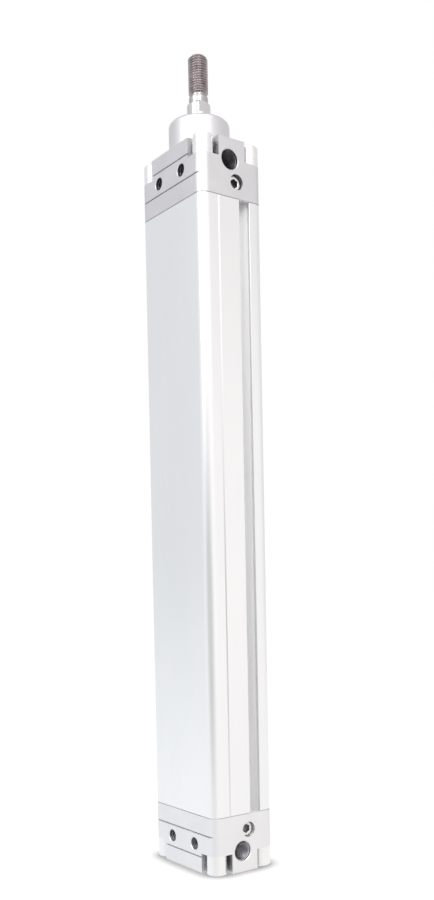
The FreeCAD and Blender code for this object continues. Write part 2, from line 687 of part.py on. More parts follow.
# Cushion adjusting screws, turned along their own axis and laid along X in the caps
def make_cushion_screw(prefix, up):
    name = prefix + "_cushion_screw"
    body = new_body(name)
    head = "(needle_head_bore - needle_gap)"
    shank = "(needle_bore - needle_gap)"
    head_end = "(needle_recess + needle_head_length)"
    ring_floor = "(needle_bore - 2 * needle_ring_radius - 2 * static_gap)"
    ring_end = "(needle_ring_start + needle_ring_width)"
    turned(body, name + "_turned", [
        ("0", "-needle_recess"),
        (f"{head} - needle_head_chamfer", "-needle_recess"),
        (head, "-needle_recess - needle_head_chamfer"),
        (head, "-" + head_end),
        (shank, "-" + head_end),
        (shank, "-needle_ring_start"),
        (ring_floor, "-needle_ring_start"),
        (ring_floor, "-" + ring_end),
        (shank, "-" + ring_end),
        (shank, "-needle_cone_start"),
        ("needle_cone_radius", "-needle_cone_start"),
        ("needle_tip_radius", "-needle_cone_end"),
        ("needle_tip_radius", "-needle_tip_end"),
        ("0", "-needle_tip_end"),
    ])
    socket = new_sketch(body, name + "_socket_outline", "XY_Plane", {"z": "-needle_recess"})
    polygon(socket, hexagon("needle_socket"))
    pocket(body, name + "_socket", socket, "needle_socket_depth", along_normal=False)
    mouth = new_sketch(body, name + "_mouth_outline", "XZ_Plane", {"y": "-needle_recess"})
    polygon(mouth, [("0", "0"), ("needle_socket_mouth", "0"), ("0", "-needle_socket_mouth / 2")])
    groove(body, name + "_socket_mouth", mouth, "V_Axis")
    along_x = FreeCAD.Rotation(FreeCAD.Vector(0, 1, 0), 90)
    place(body, HALF_WIDTH, "needle_side", up, along_x)
    sub_parts[name] = body

    ring = doc.addObject("Part::Torus", prefix + "_cushion_screw_oring")
    ring.Label = prefix + "_cushion_screw_oring"
    ring.setExpression("Radius1", on_sheet("needle_bore - static_gap - needle_ring_radius"))
    ring.setExpression("Radius2", on_sheet("needle_ring_radius"))
    middle = f"{HALF_WIDTH} - needle_ring_start - needle_ring_width / 2"
    place(ring, middle, "needle_side", up, along_x)
    sub_parts[ring.Label] = ring


# Piston rod: long bright bar, thread and wrench flats in front, neck for the piston behind
PISTON_REAR = "(cap_height + spigot_length + end_gap + buffer_length)"
PISTON_FRONT = f"({PISTON_REAR} + 2 * half_length + magnet_length)"
SHOULDER = f"({FRONT_JOINT} + cap_height + shoulder_height)"
ROD_STEP = f"({PISTON_FRONT} + sleeve_length)"
NUT_LOW = f"({PISTON_REAR} - sleeve_length - nut_length)"


def make_piston_rod():
    body = new_body("piston_rod")
    neck = f"({SHOULDER} + shank_length)"
    tip = f"({neck} + relief_length + thread_length)"
    turned(body, "piston_rod_turned", [
        ("0", f"{NUT_LOW} - rod_tail"),
        ("rod_neck_radius", f"{NUT_LOW} - rod_tail"),
        ("rod_neck_radius", ROD_STEP),
        ("rod_radius", ROD_STEP),
        ("rod_radius", f"{SHOULDER} - rod_radius + shank_radius"),
        ("shank_radius", SHOULDER),
        ("shank_radius", neck),
        ("relief_radius", neck),
        ("relief_radius", f"{neck} + relief_length"),
        ("thread_radius", f"{neck} + relief_length + thread_radius - relief_radius"),
        ("thread_radius", f"{tip} - thread_chamfer"),
        ("thread_radius - thread_chamfer", tip),
        ("0", tip),
    ])
    flats = new_sketch(body, "piston_rod_flats_outline", "XY_Plane", {"z": f"{SHOULDER} - flats_length"})
    for sign in ("", "-"):
        rectangle(flats, sign + "flats_width / 2", sign + "2 * rod_radius", "-rod_radius", "rod_radius")
    pocket(body, "piston_rod_flats", flats, "flats_length")
    sub_parts["piston_rod"] = body


# Piston: two oval halves with the magnet and guide band between them
def make_piston_half(name, hub_length, up, rotation):
    body = new_body(name)
    outline = new_sketch(body, name + "_outline", "XY_Plane")
    oval(outline, "piston_radius")
    pad(body, name + "_plate", outline, "half_length")
    if hub_length != "0":
        hub = new_sketch(body, name + "_hub_outline", "XY_Plane", {"z": "half_length"})
        circle(hub, "0", "0", "hub_radius")
        pad(body, name + "_hub", hub, hub_length)
    seal = new_sketch(body, name + "_seal_outline", "XY_Plane", {"z": "piston_seal_start"})
    oval(seal, "bore_radius")
    oval(seal, "piston_radius - piston_seal_depth")
    pocket(body, name + "_seal_groove", seal, "piston_seal_width")
    hole = new_sketch(body, name + "_hole_outline", "XY_Plane")
    circle(hole, "0", "0", "rod_neck_radius + neck_gap")
    pocket(body, name + "_hole", hole, f"half_length + {hub_length}")
    if hub_length == "0":
        ring = new_sketch(body, name + "_ring_outline", "XZ_Plane")
        width = "(2 * rod_ring_radius + 2 * ring_play)"
        floor = "rod_neck_radius + neck_gap + rod_ring_groove"
        rectangle(ring, "0", floor, "rod_ring_start", f"rod_ring_start + {width}")
        groove(body, name + "_ring_groove", ring, "V_Axis")
    place(body, up=up, rotation=rotation)
    sub_parts[name] = body


def make_piston():
    make_piston_half("piston_rear_half", "magnet_length", PISTON_REAR, None)
    make_piston_half("piston_front_half", "0", PISTON_FRONT, UPSIDE_DOWN)
    middle = f"{PISTON_REAR} + half_length"
    make_oval_ring("piston_magnet", "magnet_radius", "hub_radius + neck_gap", "magnet_length", middle, True)
    make_oval_ring("piston_guide_band", "bore_radius - seal_gap", "band_inner_radius",
                   "magnet_length - ring_play", f"{middle} + ring_play / 2")
    outer = "bore_radius - seal_gap"
    inner = "piston_radius - piston_seal_depth + ring_play"
    length = "piston_seal_width - 2 * ring_play"
    make_oval_ring("rear_piston_seal", outer, inner, length, f"{PISTON_REAR} + piston_seal_start + ring_play")
    make_oval_ring("front_piston_seal", outer, inner, length,
                   f"{PISTON_FRONT} - piston_seal_start - piston_seal_width + ring_play")
    hole = "sleeve_radius + ring_play"
    for name, up in (("rear_buffer", f"{PISTON_REAR} - buffer_length"), ("front_buffer", PISTON_FRONT)):
        make_oval_ring(name, "buffer_radius", hole, "buffer_length", up, True)

    ring = doc.addObject("Part::Torus", "piston_rod_oring")
    ring.Label = "piston_rod_oring"
    ring.setExpression("Radius1", on_sheet("rod_neck_radius + neck_gap + rod_ring_radius"))
    ring.setExpression("Radius2", on_sheet("rod_ring_radius"))
    place(ring, up=f"{PISTON_FRONT} - rod_ring_start - rod_ring_radius - ring_play")
    sub_parts[ring.Label] = ring


# Cushion sleeves on both sides of the piston, and the nut that clamps them
def make_sleeves_and_nut():
    hole = "rod_neck_radius + neck_gap"
    sleeve = [
        (hole, "0"),
        ("sleeve_radius", "0"),
        ("sleeve_radius", "sleeve_length - sleeve_taper"),
        ("sleeve_radius - sleeve_nose", "sleeve_length"),
        (hole, "sleeve_length"),
    ]
    make_round_ring("front_cushion_sleeve", sleeve, PISTON_FRONT)
    make_round_ring("rear_cushion_sleeve", sleeve, PISTON_REAR, UPSIDE_DOWN)

    body = new_body("piston_nut")
    turned(body, "piston_nut_turned", [
        (hole, "0"),
        ("nut_radius - head_chamfer", "0"),
        ("nut_radius", "head_chamfer"),
        ("nut_radius", "nut_length"),
        (hole, "nut_length"),
    ])
    slot = new_sketch(body, "piston_nut_slot_outline", "XY_Plane")
    rectangle(slot, "-2 * nut_radius", "2 * nut_radius", "-nut_slot_width / 2", "nut_slot_width / 2")
    pocket(body, "piston_nut_slot", slot, "nut_slot_depth")
    place(body, up=NUT_LOW)
    sub_parts["piston_nut"] = body


make_barrel()
make_front_cap()
make_rear_cap()
make_cap_screws("front_cap_screws", f"{FRONT_JOINT} + cap_height - pocket_depth", None)
make_cap_screws("rear_cap_screws", "pocket_depth", UPSIDE_DOWN)
make_cap_seals()
make_cushion_seals()
make_rod_guide()
make_cushion_screw("front", f"{FRONT_JOINT} + needle_height")
make_cushion_screw("rear", "cap_height - needle_height")
make_piston_rod()
make_piston()
make_sleeves_and_nut()
doc.recompute()

# Every object is sound before any file is written
for item in doc.Objects:
    if "Invalid" in item.State or "Error" in item.State:
        raise RuntimeError(f"{item.Name} failed: {item.State}")
for name, item in sub_parts.items():
    if item.Shape.isNull() or not item.Shape.isValid():
        raise RuntimeError(name + " has no valid shape")
for name, item in sub_parts.items():
    item.Shape.exportStep(f"parts/{name}.step")
    box = item.Shape.BoundBox
    print(f"{name}: {len(item.Shape.Solids)} solid, {item.Shape.Volume:.1f} mm3, "
          f"Z {box.ZMin:.2f} to {box.ZMax:.2f}")
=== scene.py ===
import bmesh
import bpy
import math
from mathutils import Matrix, Vector


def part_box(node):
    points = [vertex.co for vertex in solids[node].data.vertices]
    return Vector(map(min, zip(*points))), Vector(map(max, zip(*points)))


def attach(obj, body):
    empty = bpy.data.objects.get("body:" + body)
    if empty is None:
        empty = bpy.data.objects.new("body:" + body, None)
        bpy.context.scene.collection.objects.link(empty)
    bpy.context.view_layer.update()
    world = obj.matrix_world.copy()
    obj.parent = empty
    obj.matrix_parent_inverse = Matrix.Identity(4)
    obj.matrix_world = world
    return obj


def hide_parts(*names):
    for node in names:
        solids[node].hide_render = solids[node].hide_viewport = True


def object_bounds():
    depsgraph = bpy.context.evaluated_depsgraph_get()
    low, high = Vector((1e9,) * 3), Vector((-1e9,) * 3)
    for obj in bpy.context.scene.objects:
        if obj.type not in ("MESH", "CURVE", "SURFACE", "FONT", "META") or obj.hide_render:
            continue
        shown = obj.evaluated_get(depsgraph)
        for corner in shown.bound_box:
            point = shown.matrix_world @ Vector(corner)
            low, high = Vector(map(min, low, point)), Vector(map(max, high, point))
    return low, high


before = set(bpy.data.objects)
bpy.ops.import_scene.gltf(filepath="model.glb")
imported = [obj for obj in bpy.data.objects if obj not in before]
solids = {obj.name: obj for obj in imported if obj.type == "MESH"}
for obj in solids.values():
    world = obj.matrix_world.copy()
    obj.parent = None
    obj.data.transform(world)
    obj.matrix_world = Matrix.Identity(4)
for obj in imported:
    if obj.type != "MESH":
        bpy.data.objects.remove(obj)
cad_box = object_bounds()


# Piston rod: a ground and hard-chromed steel bar, turned down at its tail for the piston.
# Its free end has two wrench flats, a shoulder, a short shank, a neck and a rolled M10 thread.
# One turned mesh holds it all, so the thread is a real helix that runs out at both ends.
def new_finish(name):
    """A new material with its node tree, its shader and the Object coordinates."""
    material = bpy.data.materials.new(name)
    material.use_nodes = True
    tree = material.node_tree
    shader = tree.nodes["Principled BSDF"]
    place = tree.nodes.new("ShaderNodeTexCoord").outputs["Object"]
    return material, tree, shader, place


def add_node(tree, kind, inputs=None, **settings):
    """A node with its settings, and its sockets set to values or linked to other sockets."""
    node = tree.nodes.new(kind)
    for name, value in settings.items():
        setattr(node, name, value)
    for name, value in (inputs or {}).items():
        if isinstance(value, bpy.types.NodeSocket):
            tree.links.new(value, node.inputs[name])
        else:
            node.inputs[name].default_value = value
    return node


def stretched_noise(tree, place, stretch, scale, detail=3.0):
    """Noise whose pattern is stretched along the axes with a small factor."""
    mapped = add_node(tree, "ShaderNodeMapping", {"Vector": place, "Scale": stretch})
    return add_node(tree, "ShaderNodeTexNoise", {
        "Vector": mapped.outputs["Vector"], "Scale": scale, "Detail": detail,
    }).outputs["Fac"]


noise_low, noise_high = 0.3, 0.7


def set_colour(tree, shader, noise, dark, pale):
    """A base colour that goes from dark to pale over the noise's usual spread."""
    ramp = add_node(tree, "ShaderNodeValToRGB", {"Fac": noise})
    stops = ramp.color_ramp.elements
    for stop, position, colour in zip(stops, (noise_low, noise_high), (dark, pale)):
        stop.position = position
        stop.color = (*colour, 1.0)
    tree.links.new(ramp.outputs["Color"], shader.inputs["Base Color"])


def set_roughness(tree, shader, noise, low, high):
    """A roughness that goes from low to high over the noise's usual spread."""
    spread = add_node(tree, "ShaderNodeMapRange", {
        "Value": noise, "From Min": noise_low, "From Max": noise_high, "To Min": low, "To Max": high,
    })
    tree.links.new(spread.outputs["Result"], shader.inputs["Roughness"])


def set_grain(tree, shader, height, depth):
    """Small relief on the surface, as deep as the given number of metres."""
    bump = add_node(tree, "ShaderNodeBump", {"Height": height, "Distance": depth, "Strength": 1.0})
    tree.links.new(bump.outputs["Normal"], shader.inputs["Normal"])


def noisy_finish(name, scale, colours, roughness, relief, stretch=(1.0, 1.0, 1.0), detail=3.0, metallic=1.0):
    """A finish whose colour, roughness and relief all follow one noise."""
    material, tree, shader, place = new_finish(name)
    noise = stretched_noise(tree, place, stretch, scale, detail)
    set_colour(tree, shader, noise, *colours)
    set_roughness(tree, shader, noise, *roughness)
    set_grain(tree, shader, noise, relief)
    shader.inputs["Metallic"].default_value = metallic
    return material


def new_piece(name, mesh, body, slot, *stands_for):
    """A finished mesh as a piece that moves with a body and stands for some of the solids."""
    piece = bpy.data.objects.new(name, mesh)
    bpy.context.scene.collection.objects.link(piece)
    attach(piece, body)
    if stands_for:
        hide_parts(*stands_for)
    return piece


rod_low, rod_high = (corner.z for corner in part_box("piston_rod"))
rod_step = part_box("front_cushion_sleeve")[1].z
rod_radius = 0.006
neck_radius = 0.005
thread_radius = 0.005
thread_pitch = 0.00125
thread_depth_share = 0.61
thread_depth = thread_depth_share * thread_pitch
thread_flat = 0.14
thread_chamfer = 0.0014
thread_length = 0.0193
relief_radius = 0.0043
relief_length = 0.0012
shank_radius = 0.0049
shank_length = 0.0032
thread_start = rod_high - thread_length
shank_end = thread_start - relief_length
shoulder = shank_end - shank_length
flat_distance = 0.005
flats_length = 0.006
rod_edge = 0.0004
rod_sides = 96
rings_per_pitch = 12
rod_sharp_angle = math.radians(28)
shortest_edge = 1e-7


def thread_height(height, angle):
    """Radius of the thread's flank at a height and angle, with flat crests and roots."""
    phase = (height / thread_pitch - angle / (2 * math.pi)) % 1.0
    wave = abs(2.0 * phase - 1.0)
    slope = min(max((wave - thread_flat) / (1.0 - 2.0 * thread_flat), 0.0), 1.0)
    return thread_radius - thread_depth * slope


def rod_rings():
    """The rod's rings from tail to tip: height, radius or None on the thread, and if it has flats."""
    rings = [
        (rod_low, neck_radius - rod_edge, False),
        (rod_low + rod_edge, neck_radius, False),
        (rod_step, neck_radius, False),
        (rod_step, rod_radius - rod_edge, False),
        (rod_step + rod_edge, rod_radius, False),
        (shoulder - flats_length, rod_radius, False),
        (shoulder - flats_length, rod_radius, True),
        (shoulder - rod_radius + shank_radius, rod_radius, True),
        (shoulder, shank_radius, True),
        (shank_end - rod_edge, shank_radius, False),
        (shank_end, shank_radius - rod_edge, False),
        (shank_end, relief_radius, False),
        (thread_start, relief_radius, False),
    ]
    step = thread_pitch / rings_per_pitch
    count = round(thread_length / step)
    rings += [(thread_start + step * (index + 1), None, False) for index in range(count - 1)]
    rings.append((rod_high, thread_radius - thread_chamfer, False))
    return rings


def rod_point(height, radius, flat, angle):
    """A point of a ring, cut back to the wrench flats where the ring has them."""
    if radius is None:
        run_in = relief_radius + (height - thread_start)
        run_out = thread_radius - thread_chamfer + (rod_high - height)
        radius = min(thread_height(height, angle), run_in, run_out)
    x, y = radius * math.cos(angle), radius * math.sin(angle)
    if flat:
        x = min(max(x, -flat_distance), flat_distance)
    return Vector((x, y, height))


def make_rod_mesh():
    """The turned rod, with finish 0 up to its shoulder, 1 on its shank and 2 on its thread."""
    shape = bmesh.new()
    angles = [2.0 * math.pi * side / rod_sides for side in range(rod_sides)]
    loops = []
    for height, radius, flat in rod_rings():
        loops.append([shape.verts.new(rod_point(height, radius, flat, angle)) for angle in angles])
    for lower, upper in zip(loops, loops[1:]):
        for side in range(rod_sides):
            after = (side + 1) % rod_sides
            face = shape.faces.new((lower[side], lower[after], upper[after], upper[side]))
            height = face.calc_center_median().z
            face.material_index = int(height > shoulder) + int(height > shank_end)
    shape.faces.new(list(reversed(loops[0])))
    shape.faces.new(loops[-1]).material_index = 2
    bmesh.ops.dissolve_degenerate(shape, dist=shortest_edge, edges=shape.edges)
    for face in shape.faces:
        face.smooth = True
    mesh = bpy.data.meshes.new("chromed_rod")
    shape.to_mesh(mesh)
    shape.free()
    mesh.set_sharp_from_angle(angle=rod_sharp_angle)
    return mesh


rod_mesh = make_rod_mesh()
rod_mesh.materials.append(noisy_finish(
    "ground_chrome", scale=90.0, stretch=(1.0, 1.0, 60.0), roughness=(0.12, 0.2), relief=0.0000008,
    colours=((0.60, 0.60, 0.61), (0.67, 0.67, 0.67)),
))
rod_mesh.materials.append(noisy_finish(
    "bare_steel", scale=120.0, stretch=(1.0, 1.0, 60.0), roughness=(0.26, 0.36), relief=0.000006,
    colours=((0.42, 0.415, 0.41), (0.52, 0.515, 0.51)),
))
rod_mesh.materials.append(noisy_finish(
    "rolled_thread", scale=420.0, roughness=(0.26, 0.44), relief=0.00001,
    colours=((0.27, 0.238, 0.244), (0.47, 0.42, 0.426)),
))
new_piece("chromed_rod", rod_mesh, "rod_and_piston", "rod_steel", "piston_rod")


# Piston: two machined aluminium halves with a ring magnet and a plastic guide band between
# them, clamped on the rod's tail with the cushion sleeves by a slotted round nut.
def dress(material, *names):
    """Gives solids that keep their shape their finish."""
    for name in names:
        for slot in solids[name].material_slots:
            slot.material = material


aluminium = noisy_finish(
    "machined_aluminium", scale=160.0, stretch=(1.0, 1.0, 25.0), roughness=(0.28, 0.42), relief=0.00001,
    colours=((0.66, 0.66, 0.67), (0.78, 0.78, 0.79)),
)
magnet = noisy_finish(
    "bonded_magnet", scale=1500.0, roughness=(0.45, 0.65), relief=0.00002, metallic=0.0,
    colours=((0.03, 0.03, 0.032), (0.075, 0.073, 0.07)),
)
guide_plastic = noisy_finish(
    "guide_plastic", scale=220.0, stretch=(1.0, 1.0, 8.0), roughness=(0.38, 0.5), relief=0.00001,
    metallic=0.0, colours=((0.27, 0.22, 0.13), (0.34, 0.28, 0.17)),
)
dress(aluminium, "piston_rear_half", "piston_front_half")
dress(aluminium, "front_cushion_sleeve", "rear_cushion_sleeve")
dress(magnet, "piston_magnet")
dress(guide_plastic, "piston_guide_band")


# Seals: moulded nitrile rings and buffers, and cast polyurethane rings that slide on the rod,
# the bore or the cushion sleeves. They are sprung into grooves or held between other pieces.
nitrile = noisy_finish(
    "nitrile_rubber", scale=260.0, detail=5.0, roughness=(0.5, 0.66), relief=0.00002, metallic=0.0,
    colours=((0.012, 0.012, 0.013), (0.03, 0.03, 0.031)),
)
polyurethane = noisy_finish(
    "polyurethane", scale=260.0, detail=5.0, roughness=(0.34, 0.5), relief=0.00002, metallic=0.0,
    colours=((0.02, 0.024, 0.03), (0.045, 0.05, 0.06)),
)
dress(nitrile, "front_cap_seal", "rear_cap_seal", "front_cushion_screw_oring", "rear_cushion_screw_oring")
dress(nitrile, "piston_rod_oring", "rear_buffer", "front_buffer")
dress(polyurethane, "rod_seal", "rod_wiper", "front_cushion_seal", "rear_cushion_seal")
dress(polyurethane, "rear_piston_seal", "front_piston_seal")


# Rod bush: a plain bearing of sintered bronze, full of oil, that guides the rod.
# It is pressed into the front cap, below the rod seal and the wiper.
bronze = noisy_finish(
    "sintered_bronze", scale=1900.0, roughness=(0.36, 0.56), relief=0.00002,
    colours=((0.34, 0.21, 0.10), (0.56, 0.36, 0.18)),
)
dress(bronze, "rod_bush")


# Barrel: one length of extruded aluminium, satin anodised, with fine die lines along it.
# Its narrow sides have a sensor slot and a marking groove, and its edges are softly broken.
merge_distance = 1e-6
flat_angle = math.radians(0.4)
sharp_angle = math.radians(30)
edge_angle = math.radians(32)


def softened(name, solid, edge_width, body, slot, finishes, choose=lambda point: 0):
    """A merged copy of a solid's mesh with its edges broken, standing for that solid.

    Choose gives the number of a face's finish from the face's centre.
    """
    shape = bmesh.new()
    shape.from_mesh(solids[solid].data)
    bmesh.ops.remove_doubles(shape, verts=shape.verts, dist=merge_distance)
    bmesh.ops.dissolve_limit(shape, angle_limit=flat_angle, verts=shape.verts, edges=shape.edges)
    for face in shape.faces:
        face.smooth = True
        face.material_index = choose(face.calc_center_median())
    mesh = bpy.data.meshes.new(name)
    shape.to_mesh(mesh)
    shape.free()
    if "custom_normal" in mesh.attributes:
        mesh.attributes.remove(mesh.attributes["custom_normal"])
    for finish in finishes:
        mesh.materials.append(finish)
    mesh.set_sharp_from_angle(angle=sharp_angle)
    piece = new_piece(name, mesh, body, slot, solid)
    edges = piece.modifiers.new("broken_edges", "BEVEL")
    edges.width = edge_width
    edges.segments = 2
    edges.limit_method = "ANGLE"
    edges.angle_limit = edge_angle
    edges.harden_normals = True
    edges.miter_outer = "MITER_ARC"
    return piece


def anodised_extrusion():
    material, tree, shader, place = new_finish("anodised_extrusion")
    die_lines = stretched_noise(tree, place, stretch=(1.0, 1.0, 0.012), scale=1100.0, detail=4.0)
    clouds = stretched_noise(tree, place, stretch=(1.0, 1.0, 0.35), scale=26.0)
    set_colour(tree, shader, clouds, (0.845, 0.86, 0.87), (0.885, 0.895, 0.9))
    set_roughness(tree, shader, die_lines, low=0.2, high=0.28)
    shader.inputs["Metallic"].default_value = 1.0
    set_grain(tree, shader, die_lines, depth=0.0000015)
    return material


body_low, body_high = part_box("barrel")
side_wall = body_high.x
wide_wall = body_high.y
slot_middle = 0.00705
slot_half_width = 0.0036
slot_depth = 0.0063
slot_margin = 0.0001
barrel_edge = 0.00012


def barrel_finish(point):
    """1 for a point in one of the two sensor slots, below the surface, and 0 elsewhere."""
    depth = side_wall - abs(point.x)
    across = math.copysign(1.0, point.x) * point.y - slot_middle
    in_width = abs(across) < slot_half_width + slot_margin
    return int(in_width and slot_margin < depth < slot_depth + slot_margin)


anodised = anodised_extrusion()
# Inside the sensor slots the anodising is rougher and painted slightly darker, as painted shade.
slot_anodising_painted_shade = noisy_finish(
    "slot_anodising_painted_shade", scale=900.0, stretch=(1.0, 1.0, 0.012), detail=4.0, roughness=(0.5, 0.6),
    relief=0.000008, colours=((0.815, 0.82, 0.82), (0.875, 0.88, 0.88)),
)
softened("anodised_barrel", "barrel", barrel_edge, "housing", "anodised_profile",
         [anodised, slot_anodising_painted_shade], barrel_finish)


# End caps: machined aluminium blocks, bead blasted to a duller and greyer finish than the
# barrel. Their ports, side threads and adjuster bores are drilled. Their holes are painted dark
# inside as painted shade, darkest in the front cap; the rear cap's are paler, as painted light.
def blasted_aluminium(name, dark, pale):
    material, tree, shader, place = new_finish(name)
    beads = stretched_noise(tree, place, stretch=(1.0, 1.0, 1.0), scale=2600.0, detail=2.0)
    clouds = stretched_noise(tree, place, stretch=(1.0, 1.0, 1.0), scale=70.0)
    set_colour(tree, shader, clouds, dark, pale)
    set_roughness(tree, shader, beads, low=0.38, high=0.5)
    shader.inputs["Metallic"].default_value = 1.0
    set_grain(tree, shader, beads, depth=0.000012)
    return material


def drilled_hole(name, dark, pale):
    return noisy_finish(name, scale=600.0, colours=(dark, pale), roughness=(0.3, 0.45), relief=0.00001)


joints = {"front": (body_high.z, 1.0), "rear": (body_low.z, -1.0)}
port_side = -0.0012
port_height = 0.0185
port_radius = 0.00486
port_depth = 0.0115
needle_side = 0.0026
needle_height = 0.0082
needle_bore = 0.0038
needle_depth = 0.005
side_hole_spans = {"near": 0.010, "far": 0.011}
side_hole_height = 0.0153
side_hole_radius = 0.003
side_hole_depth = 0.0085
mouth_depth = 0.0004
drill_tip = 0.0015
pocket_reach = 0.011
pocket_floor = 0.019
joint_gap = 0.0004
joint_reach = 0.003
cap_margin = 0.0002
cap_edge = 0.00015
# Hole, port and pocket faces take colours of painted shade.
blasted_face, hole_shade_face, pocket_shade_face, pale_port_shade_face, joint_face, pale_hole_shade_face = range(6)


def cap_finish(end):
    """A choice of finish for one cap, as a number in its list of finishes."""
    joint, way = joints[end]
    port_face, needle_bore_face, side_hole_face = {
        "front": (hole_shade_face, hole_shade_face, hole_shade_face), "rear": (pale_port_shade_face, pocket_shade_face, pale_hole_shade_face),
    }[end]

    def choose(point):
        height = way * (point.z - joint)
        from_side = side_wall - point.x
        from_wide = wide_wall - abs(point.y)
        span = side_hole_spans["far" if point.y > 0.0 else "near"]
        from_port = math.hypot(point.y - port_side, height - port_height)
        from_needle = math.hypot(point.y - needle_side, height - needle_height)
        from_thread = math.hypot(abs(point.x) - span, height - side_hole_height)
        if from_port < port_radius + cap_margin and mouth_depth < from_side < port_depth + drill_tip:
            return port_face
        if from_needle < needle_bore + cap_margin and 0.0 < from_side < needle_depth + drill_tip:
            return needle_bore_face
        in_thread = from_thread < side_hole_radius + cap_margin
        if in_thread and mouth_depth < from_wide < side_hole_depth + drill_tip:
            return side_hole_face
        from_corner = max(side_wall - abs(point.x), from_wide)
        if from_corner < pocket_reach + cap_margin and height > pocket_floor - cap_margin:
            return pocket_shade_face
        near_edge = min(side_wall - abs(point.x), from_wide) < joint_reach
        return joint_face if near_edge and -cap_margin < height < joint_gap else blasted_face

    return choose


# Painted shade: hole insides darker than the caps, darkest in the front cap; the rear cap's paler holes and
# port also carry painted light.
hole_painted_shade = drilled_hole("hole_painted_shade", (0.13, 0.125, 0.135), (0.26, 0.25, 0.265))
pale_hole_painted_shade = drilled_hole("pale_hole_painted_shade", (0.28, 0.275, 0.29), (0.42, 0.41, 0.43))
pale_port_painted_shade = noisy_finish(
    "pale_port_painted_shade", scale=500.0, stretch=(6.0, 1.0, 1.0), roughness=(0.28, 0.42), relief=0.00001,
    colours=((0.50, 0.49, 0.52), (0.66, 0.65, 0.68)),
)
# The milled pocket walls, and the rear cushion screws' counterbores, are painted darker than the caps as
# painted shade.
pocket_painted_shade = noisy_finish(
    "pocket_painted_shade", scale=180.0, stretch=(1.0, 1.0, 14.0), roughness=(0.34, 0.46), relief=0.00001,
    colours=((0.52, 0.52, 0.535), (0.62, 0.62, 0.63)),
)
port_finishes = {"front": hole_painted_shade, "rear": pale_port_painted_shade}
hole_finishes = {"front": hole_painted_shade, "rear": pale_hole_painted_shade}
inner_finishes = [hole_painted_shade, pocket_painted_shade, pale_port_painted_shade, anodised, pale_hole_painted_shade]
# One finish in two tones: the front cap's darker base colour is painted shade, the rear cap's paler one
# painted light.
for end, name, dark, pale in (
    ("front", "front_bearing_cap", (0.665, 0.66, 0.684), (0.712, 0.708, 0.727)),
    ("rear", "rear_end_cap", (0.80, 0.805, 0.82), (0.84, 0.845, 0.86)),
):
    finishes = [blasted_aluminium(f"{end}_blasted_aluminium", dark, pale), *inner_finishes]
    softened(name, f"{end}_cap", cap_edge, "housing", "cap_casting", finishes, cap_finish(end))


# Collar screws: four zinc-plated steel screws hold each cap. Their round heads fill the cap's
# corners, and each head has an M6 thread of its own with a hexagon socket below it. The
# piston's nut has the same plating.
zinc = noisy_finish(
    "turned_zinc", scale=110.0, stretch=(1.0, 1.0, 40.0), roughness=(0.20, 0.32), relief=0.0000012,
    colours=((0.82, 0.825, 0.83), (0.92, 0.92, 0.91)),
)
head_edge = 0.00015
dress(zinc, "piston_nut")
for end in joints:
    softened(f"{end}_collar_screws", f"{end}_cap_screws", head_edge, "housing", "plated_screws", [zinc])


# Cushion screws: turned steel needles with a hexagon socket. They sit just below the surface
# and throttle the air that leaves at the end of the stroke.
needle_recess = 0.0019
needle_face = side_wall - needle_recess
needle_socket = 0.00236
needle_margin = 0.0002
needle_edge = 0.00012


def needle_finish(end):
    """A choice of finish for one cushion screw: 1 inside its socket, 0 elsewhere."""
    joint, way = joints[end]

    def choose(point):
        from_axis = math.hypot(point.y - needle_side, way * (point.z - joint) - needle_height)
        return int(from_axis < needle_socket and point.x < needle_face - needle_margin)

    return choose


needle_steel = noisy_finish(
    "bright_steel", scale=240.0, stretch=(12.0, 1.0, 1.0), roughness=(0.2, 0.34), relief=0.000006,
    colours=((0.72, 0.715, 0.70), (0.84, 0.835, 0.82)),
)
# The sockets take the holes' dark colours, as painted shade.
for end, socket_finish in hole_finishes.items():
    softened(f"{end}_needle_screw", f"{end}_cushion_screw", needle_edge, f"{end}_adjuster",
             "cushion_screw_steel", [needle_steel, socket_finish], needle_finish(end))


# Tapped threads: G1/8 in the two ports, M6 in the caps' wide faces and in the screw heads.
# A ridge swept along a helix stands in each drilled hole, and fades out at both of its ends.
points_per_turn = 40
flank_share = 0.46
fades_per_turn = 2.0


